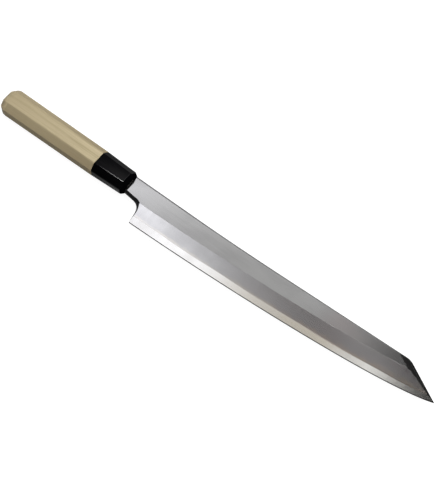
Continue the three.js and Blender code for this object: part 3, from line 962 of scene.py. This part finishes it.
@dataclass
class Blade:
    """The laminated blade: soft iron cladding over a hard steel layer on the hollow back."""

    flat_degrees: float = 0.02
    flat_lean: float = 0.03
    bevel_cosine: float = 0.965
    edge_cosine: float = 0.8
    back_cosine: float = 0.9
    bevel_side_lean: float = 0.06
    bright_rim_cosine: float = 0.985
    choil_reach: float = 0.032
    bevel_reach: float = 0.017
    cut_reach: float = 0.048
    cut_lean: float = 0.012
    level_degrees: float = 0.1
    crisp_degrees: float = 40.0
    ridge_width: float = 0.00012
    mist_height: float = 0.0005
    weld_tip: float = 0.00102

    def __post_init__(self) -> None:
        """Takes the places of the neck, the choil and the weld from the CAD."""
        low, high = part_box("blade_edge_steel")
        self.neck_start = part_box("ferrule")[1].x
        self.choil_end = self.neck_start + self.choil_reach
        self.bevel_start = self.neck_start + self.bevel_reach
        self.axis_y = sum(corner.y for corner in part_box("ferrule")) / 2.0
        self.back = low.z
        self.heel_x = low.x
        self.tip_x = high.x
        self.weld_heel = high.z - low.z

    def rim_region(self, normal: Vector, centre: Vector) -> Region:
        """Sorts the rounded border of the blade into spine, tip cut and choil.

        Args:
            normal: The face's normal.
            centre: The face's middle.

        Returns:
            The region.
        """
        under = centre.x < self.choil_end and (centre.y < self.axis_y or centre.x < self.neck_start)
        if under and normal.z < self.bright_rim_cosine:
            return Region.SCALE
        if centre.x > self.tip_x - self.cut_reach and normal.x > self.cut_lean:
            return Region.CUT
        return Region.FACE if under else Region.RIM

    def region_of(self, normal: Vector, centre: Vector) -> Region:
        """Sorts a face of the blade.

        Args:
            normal: The face's normal.
            centre: The face's middle.

        Returns:
            The region.
        """
        if normal.z < -self.back_cosine:
            return Region.BACK
        if normal.z > self.back_cosine and abs(normal.y) < self.flat_lean and abs(normal.x) < self.flat_lean:
            return Region.FACE
        ground = normal.y < 0.0 and normal.x > -self.bevel_side_lean and centre.x > self.bevel_start
        if ground and normal.z > self.bevel_cosine:
            return Region.BEVEL
        if ground and normal.z > self.edge_cosine:
            return Region.EDGE
        return self.rim_region(normal, centre)

    def face_iron(self) -> TarnishedSteel:
        """Gives the flat face's satin iron, warmed a little before the tip.

        Returns:
            The finish.
        """
        return TarnishedSteel(
            name="satin_iron",
            pale=(0.64, 0.64, 0.645),
            dark=(0.57, 0.57, 0.575),
            scratches=Axis.LENGTH,
            scratch_pitch=0.0004,
            cloud_size=0.03,
            gloss_rough=0.11,
            dull_rough=0.125,
            scratch_depth=0.0000006,
            tarnish=(0.61, 0.57, 0.575),
            tarnish_share=0.9,
            tarnish_start=(self.tip_x - 0.125, self.tip_x - 0.1),
            tarnish_end=(self.tip_x - 0.065, self.tip_x - 0.035),
        )

    def mist_iron(self) -> MistSteel:
        """Gives the bevel's hazed iron, with its mist set along the weld.

        Returns:
            The finish.
        """
        return MistSteel(
            name="misted_bevel_iron",
            pale=(0.59, 0.59, 0.6),
            dark=(0.53, 0.53, 0.54),
            scratches=Axis.ACROSS,
            scratch_pitch=0.0007,
            cloud_size=0.022,
            gloss_rough=0.15,
            dull_rough=0.165,
            scratch_depth=0.0000005,
            tarnish=(0.55, 0.51, 0.515),
            tarnish_share=0.9,
            tarnish_start=(0.0, 0.13),
            tarnish_end=(self.tip_x - 0.01, self.tip_x + 0.05),
            mist=(0.68, 0.655, 0.62),
            stain=(0.69, 0.6, 0.525),
            weld_heel=(self.heel_x, self.back + self.weld_heel),
            weld_tip=(self.tip_x, self.back + self.weld_tip),
            mist_height=self.mist_height,
        )

    def edge_steel(self) -> TarnishedSteel:
        """Gives the hard steel's polish, which is warmest in the middle of the edge.

        Returns:
            The finish.
        """
        return TarnishedSteel(
            name="polished_edge_steel",
            pale=(0.85, 0.85, 0.84),
            dark=(0.77, 0.765, 0.75),
            scratches=Axis.ACROSS,
            scratch_pitch=0.0006,
            cloud_size=0.02,
            gloss_rough=0.11,
            dull_rough=0.13,
            scratch_depth=0.0000006,
            tarnish=(0.82, 0.755, 0.65),
            tarnish_share=0.9,
            tarnish_start=(self.heel_x + 0.07, self.heel_x + 0.19),
            tarnish_end=(self.tip_x - 0.105, self.tip_x - 0.07),
        )

    def build(self) -> List[bpy.types.Object]:
        """Makes the cladding and the edge steel.

        Returns:
            The two layers.
        """
        satin = self.face_iron()
        shared = {
            Region.FACE: satin,
            Region.CUT: replace(satin, name="rounded_cut_iron"),
            Region.EDGE: HONED_EDGE,
            Region.RIDGE: BURNISHED_RIDGE,
            Region.RIM: SPINE_IRON,
            Region.SCALE: CHOIL_SCALE,
            Region.BACK: HOLLOW_BACK,
        }
        cladding = {**shared, Region.BEVEL: self.mist_iron()}
        hard = {**shared, Region.BEVEL: self.edge_steel()}
        return [
            self.make("blade_cladding", "blade_body", cladding, "soft_iron", True),
            self.make("blade_edge_steel", "blade_steel_layer", hard, "edge_steel", False),
        ]

    def make(
        self, node: str, name: str, finishes: Dict[Region, Finish], slot: str, ridged: bool
    ) -> bpy.types.Object:
        """Makes one layer of the blade.

        Args:
            node: The CAD node.
            name: The layer's name.
            finishes: A finish for each region.
            slot: The record's material slot.
            ridged: True for the layer that carries the shinogi line.

        Returns:
            The layer.
        """
        order = list(finishes)
        soft = (Region.FACE, Region.RIM, Region.SCALE, Region.BACK)
        flowing = [(a, b) for a in soft for b in soft if a is not b] + [(Region.FACE, Region.CUT)]
        joined = [frozenset((order.index(a), order.index(b))) for a, b in flowing]
        piece = Bench.copy_of(node, name)
        Bench.flatten(self.flat_degrees)
        Bench.dress(piece, finishes.values())
        for facet in piece.data.polygons:
            facet.material_index = order.index(self.region_of(facet.normal, facet.center))
        face, bevel, ridge = (order.index(region) for region in (Region.FACE, Region.BEVEL, Region.RIDGE))
        Bench.level(piece, face, self.level_degrees)
        if ridged:
            Bench.burnish(piece, (face, bevel), ridge, self.ridge_width)
            Bench.strengthen(piece, face)
        Bench.crease(piece, joined, self.crisp_degrees)
        Bench.hand_over(piece, node, slot)
        return piece


@dataclass
class Handle:
    """The octagonal handle: magnolia grip, horn ferrule and the resin in its mouth."""

    flat_degrees: float = 0.4
    edge_degrees: float = 36.0
    smooth_degrees: float = 32.0
    ease_reach: float = 0.01
    grip_ease: float = 0.0005
    horn_ease: float = 0.0007
    ease_steps: int = 4
    rubbed_rise: float = 0.7
    mouth_lean: float = 0.3

    def grip(self) -> bpy.types.Object:
        """Makes the grip, its octagon's edges eased by sanding.

        Returns:
            The grip.
        """
        piece = Bench.copy_of("handle_grip", "magnolia_grip")
        Bench.flatten(self.flat_degrees)
        Bench.ease(piece, self.edge_degrees, self.ease_reach, self.grip_ease, self.ease_steps)
        Bench.smooth(piece, self.smooth_degrees)
        low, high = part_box("handle_grip")
        wood = Magnolia(
            name="sanded_magnolia",
            pale=(0.65, 0.557, 0.362),
            layer=(0.52, 0.44, 0.272),
            fleck=(0.34, 0.265, 0.145),
            end=(0.36, 0.29, 0.175),
            heart=(high.y + 0.03, low.z - 0.022),
            reach=(low.x, high.x),
            middle=(low.y + high.y) / 2.0,
            flanks=(0.0055, 0.0075),
            ring_pitch=0.0031,
        )
        Bench.dress(piece, [wood])
        Bench.hand_over(piece, "handle_grip", "magnolia")
        return piece

    def horn_skin(self, face: bpy.types.MeshPolygon) -> Skin:
        """Sorts a face of the ferrule.

        Args:
            face: The face, in the rubbed slot if it was made by easing an edge.

        Returns:
            The facets, the one long edge that the fingers rub, or the mouth.
        """
        if face.normal.x > self.mouth_lean:
            return Skin.MOUTH
        under_fingers = face.normal.y < 0.0 and face.normal.z > self.rubbed_rise
        return Skin.RUBBED if under_fingers and face.material_index == Skin.RUBBED else Skin.FACET

    def ferrule(self) -> bpy.types.Object:
        """Makes the horn ferrule with its edges lightly polished over.

        Returns:
            The ferrule.
        """
        piece = Bench.copy_of("ferrule", "horn_ferrule")
        low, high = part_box("ferrule")
        middle = (low.y + high.y) / 2.0
        horn = BuffaloHorn(
            name="black_horn",
            black=(0.0015, 0.0015, 0.002),
            fibre=(0.008, 0.007, 0.0065),
            rough=0.13,
            shine=0.03,
            across=(middle + 0.006, middle - 0.0055),
            across_polish=(0.07, 0.45),
            along=(low.x, high.x),
            along_polish=(0.25, 1.1),
            polish_ior=1.5,
        )
        rubbed = replace(
            horn,
            name="rubbed_horn_edge",
            shine=0.1,
            across_polish=(1.0, 1.0),
            along_polish=(0.0, 1.0),
            polish_ior=1.9,
        )
        dull = replace(horn, name="dull_horn_mouth", rough=0.8, shine=0.0, along_polish=(0.0, 0.0))
        finishes = {Skin.FACET: horn, Skin.RUBBED: rubbed, Skin.MOUTH: dull}
        Bench.dress(piece, [finishes[skin] for skin in Skin])
        Bench.flatten(self.flat_degrees)
        Bench.ease(piece, self.edge_degrees, self.ease_reach, self.horn_ease, self.ease_steps, Skin.RUBBED)
        for face in piece.data.polygons:
            face.material_index = self.horn_skin(face)
        Bench.smooth(piece, self.smooth_degrees)
        Bench.hand_over(piece, "ferrule", "horn")
        return piece

    def mouth_seal(self) -> bpy.types.Object:
        """Makes the resin plug round the tang.

        Returns:
            The plug.
        """
        piece = Bench.copy_of("mouth_seal", "seal_plug")
        Bench.flatten(self.flat_degrees)
        Bench.smooth(piece, self.smooth_degrees)
        resin = DarkResin(name="dark_resin", dark=(0.004, 0.0035, 0.003), warm=(0.01, 0.008, 0.006))
        Bench.dress(piece, [resin])
        Bench.hand_over(piece, "mouth_seal", "resin")
        return piece

    def build(self) -> List[bpy.types.Object]:
        """Makes the handle's three pieces."""
        return [self.grip(), self.ferrule(), self.mouth_seal()]


@dataclass(frozen=True)
class SoftBox:
    """A round soft light far away in one direction."""

    towards: Triple
    core: float
    reach: float
    radiance: float


@dataclass(frozen=True)
class Band:
    """One of the wall's bands of brightness, near its slanted edge and farther in."""

    near: float
    far: float


@dataclass
class Studio:
    """A white table, a lit wall towards the butt, soft boxes and the camera."""

    table_size: float = 12.0
    table_colour: Triple = (0.28, 0.28, 0.28)
    table_white: float = 0.92
    table_sheen: float = 0.25
    room: float = 0.02
    near_tint: Triple = (1.0, 0.995, 0.975)
    far_tint: Triple = (0.99, 0.985, 1.03)
    wall_slant: float = 0.1
    wall_edge: float = 0.197
    wall_blur: float = 0.005
    front: Band = Band(0.502, 1.542)
    middle: Band = Band(0.1, 0.0)
    rear: Band = Band(0.633, 1.487)
    middle_rise: Pair = (0.026, 0.166)
    rear_rise: Pair = (0.27, 0.39)
    wall_far: Pair = (0.276, 0.394)
    wall_end: Pair = (0.4, 0.46)
    wall_end_level: float = 0.25
    wall_front: Pair = (-0.5, -0.36)
    wall_dim: Pair = (-0.135, -0.065)
    wall_dim_level: float = 0.45
    wall_rear: Pair = (0.44, 0.62)
    horizon: float = 0.8
    horizon_fade: Pair = (0.06, 0.16)
    boxes: Tuple[SoftBox, ...] = (
        SoftBox((0.33, 0.23, 0.915), 12.0, 22.0, 8.0),
        SoftBox((-0.225, 0.083, 0.97), 0.5, 3.2, 0.98),
        SoftBox((-0.2235, 0.206, 0.9525), 0.5, 2.0, 1.05),
        SoftBox((-0.255, -0.37, 0.893), 2.0, 6.0, 18.0),
        SoftBox((0.80, -0.35, 0.30), 15.0, 40.0, 0.5),
        SoftBox((-0.52, 0.75, 0.41), 10.0, 20.0, 0.5),
    )
    eye: Triple = (0.54671, -0.55063, 1.40494)
    aim: Triple = (0.00704, 0.00525, 0.01)
    roll: float = -5.495
    lens: float = 141.05
    sensor: float = 36.0

    def table(self) -> None:
        """Lays the pale table under the knife."""
        bpy.ops.object.select_all(action="DESELECT")
        bpy.ops.mesh.primitive_plane_add(size=self.table_size, location=(0.0, 0.0, CAD_BOX[0].z))
        top = bpy.context.active_object
        top.name = "table"
        material = bpy.data.materials.new("white_table")
        material.use_nodes = True
        graph = Graph(material.node_tree)
        path = graph.add("ShaderNodeLightPath")
        mirrored = graph.calc("MAXIMUM", path.outputs["Is Glossy Ray"], path.outputs["Is Transmission Ray"])
        sheen = graph.calc("MULTIPLY", mirrored, self.table_sheen)
        seen = graph.calc("MULTIPLY", path.outputs["Is Camera Ray"], self.table_white)
        paper = graph.add("ShaderNodeBsdfDiffuse")
        paper.inputs["Color"].default_value = (*self.table_colour, 1.0)
        glow = graph.add("ShaderNodeEmission")
        graph.feed(glow.inputs["Strength"], graph.calc("ADD", seen, sheen))
        both = graph.add("ShaderNodeAddShader")
        graph.feed(both.inputs[0], paper.outputs[0])
        graph.feed(both.inputs[1], glow.outputs[0])
        out = graph.add("ShaderNodeOutputMaterial")
        graph.feed(out.inputs["Surface"], both.outputs[0])
        top.data.materials.append(material)

    def banded(self, graph: Graph, across: Feed, levels: Triple) -> bpy.types.NodeSocket:
        """Gives a level that changes from band to band across the wall.

        Args:
            graph: The world's nodes.
            across: The direction's Y.
            levels: Levels of the front, the middle and the rear band.

        Returns:
            The level.
        """
        front, middle, rear = levels
        first = graph.span(across, *self.middle_rise, front, middle)
        second = graph.span(across, *self.rear_rise, 0.0, rear - middle)
        return graph.calc("ADD", first, second)

    def wall(
        self, graph: Graph, back: Feed, across: Feed, farther: Feed, inward: Feed
    ) -> bpy.types.NodeSocket:
        """Gives the wall's radiance.

        Args:
            graph: The world's nodes.
            back: How far the direction points towards the butt.
            across: The direction's Y.
            farther: 0 near the wall's slanted edge, 1 farther in.
            inward: How far in from the slanted edge's line the direction points.

        Returns:
            The radiance.
        """
        bands = (self.front, self.middle, self.rear)
        edge = graph.span(inward, self.wall_edge - self.wall_blur, self.wall_edge + self.wall_blur)
        near = self.banded(graph, across, tuple(band.near for band in bands))
        far = self.banded(graph, across, tuple(band.far for band in bands))
        shown = graph.calc("MULTIPLY", edge, graph.calc("ADD", near, graph.calc("MULTIPLY", far, farther)))
        end = graph.span(back, *self.wall_end, 1.0, self.wall_end_level)
        dimmed = graph.span(across, *self.wall_dim, self.wall_dim_level, 1.0)
        start = graph.span(across, *self.wall_front)
        from_front = graph.calc("MULTIPLY", start, dimmed)
        to_rear = graph.span(across, *self.wall_rear, 1.0, 0.0)
        width = graph.calc("MULTIPLY", from_front, to_rear)
        return graph.calc("MULTIPLY", graph.calc("MULTIPLY", shown, end), width)

    def lights(self) -> None:
        """Lights the room from the wall, the soft boxes and a white horizon."""
        world = bpy.data.worlds.new("studio")
        bpy.context.scene.world = world
        world.use_nodes = True
        graph = Graph(world.node_tree)
        where = graph.add("ShaderNodeTexCoord").outputs["Generated"]
        split = graph.add("ShaderNodeSeparateXYZ")
        graph.feed(split.inputs[0], where)
        back = graph.calc("MULTIPLY", split.outputs[0], -1.0)
        across = split.outputs[1]
        inward = graph.calc("SUBTRACT", back, graph.calc("MULTIPLY", across, self.wall_slant))
        farther = graph.span(inward, *self.wall_far)
        level = self.wall(graph, back, across, farther, inward)
        height = graph.calc("ABSOLUTE", split.outputs[2])
        rim = graph.span(height, *self.horizon_fade, self.horizon, self.room)
        level = graph.calc("ADD", level, rim)
        for box in self.boxes:
            aim = graph.add("ShaderNodeVectorMath", operation="DOT_PRODUCT")
            graph.feed(aim.inputs[0], where)
            aim.inputs[1].default_value = Vector(box.towards).normalized()
            inner, outer = (math.cos(math.radians(angle)) for angle in (box.core, box.reach))
            glow = graph.span(aim.outputs["Value"], outer, inner, 0.0, box.radiance)
            level = graph.calc("ADD", level, glow)
        seen = graph.add("ShaderNodeLightPath").outputs["Is Camera Ray"]
        light = graph.add("ShaderNodeBackground")
        graph.feed(light.inputs["Color"], graph.blend(farther, self.near_tint, self.far_tint))
        graph.feed(light.inputs["Strength"], graph.calc("MAXIMUM", level, seen))
        out = graph.add("ShaderNodeOutputWorld")
        graph.feed(out.inputs["Surface"], light.outputs["Background"])

    def camera(self) -> None:
        """Sets the camera where the photograph was taken from."""
        bpy.ops.object.select_all(action="DESELECT")
        bpy.ops.object.camera_add(location=self.eye)
        camera = bpy.context.active_object
        forward = Vector(self.aim) - Vector(self.eye)
        camera.rotation_mode = "QUATERNION"
        level = forward.to_track_quat("-Z", "Y")
        camera.rotation_quaternion = level @ Quaternion((0.0, 0.0, 1.0), math.radians(self.roll))
        camera.data.sensor_width = self.sensor
        camera.data.lens = self.lens
        bpy.context.scene.camera = camera

    def build(self) -> None:
        """Sets up the table, the lights and the camera."""
        bpy.context.scene.view_settings.view_transform = "Standard"
        self.table()
        self.lights()
        self.camera()


def main() -> None:
    """Builds the knife and the studio round it, and reports each piece."""
    logging.basicConfig(level=logging.INFO, format="%(name)s %(message)s")
    for piece in (*Blade().build(), *Handle().build()):
        LOG.info("%s: %d faces", piece.name, len(piece.data.polygons))
    Studio().build()


if __name__ == "__main__":
    main()
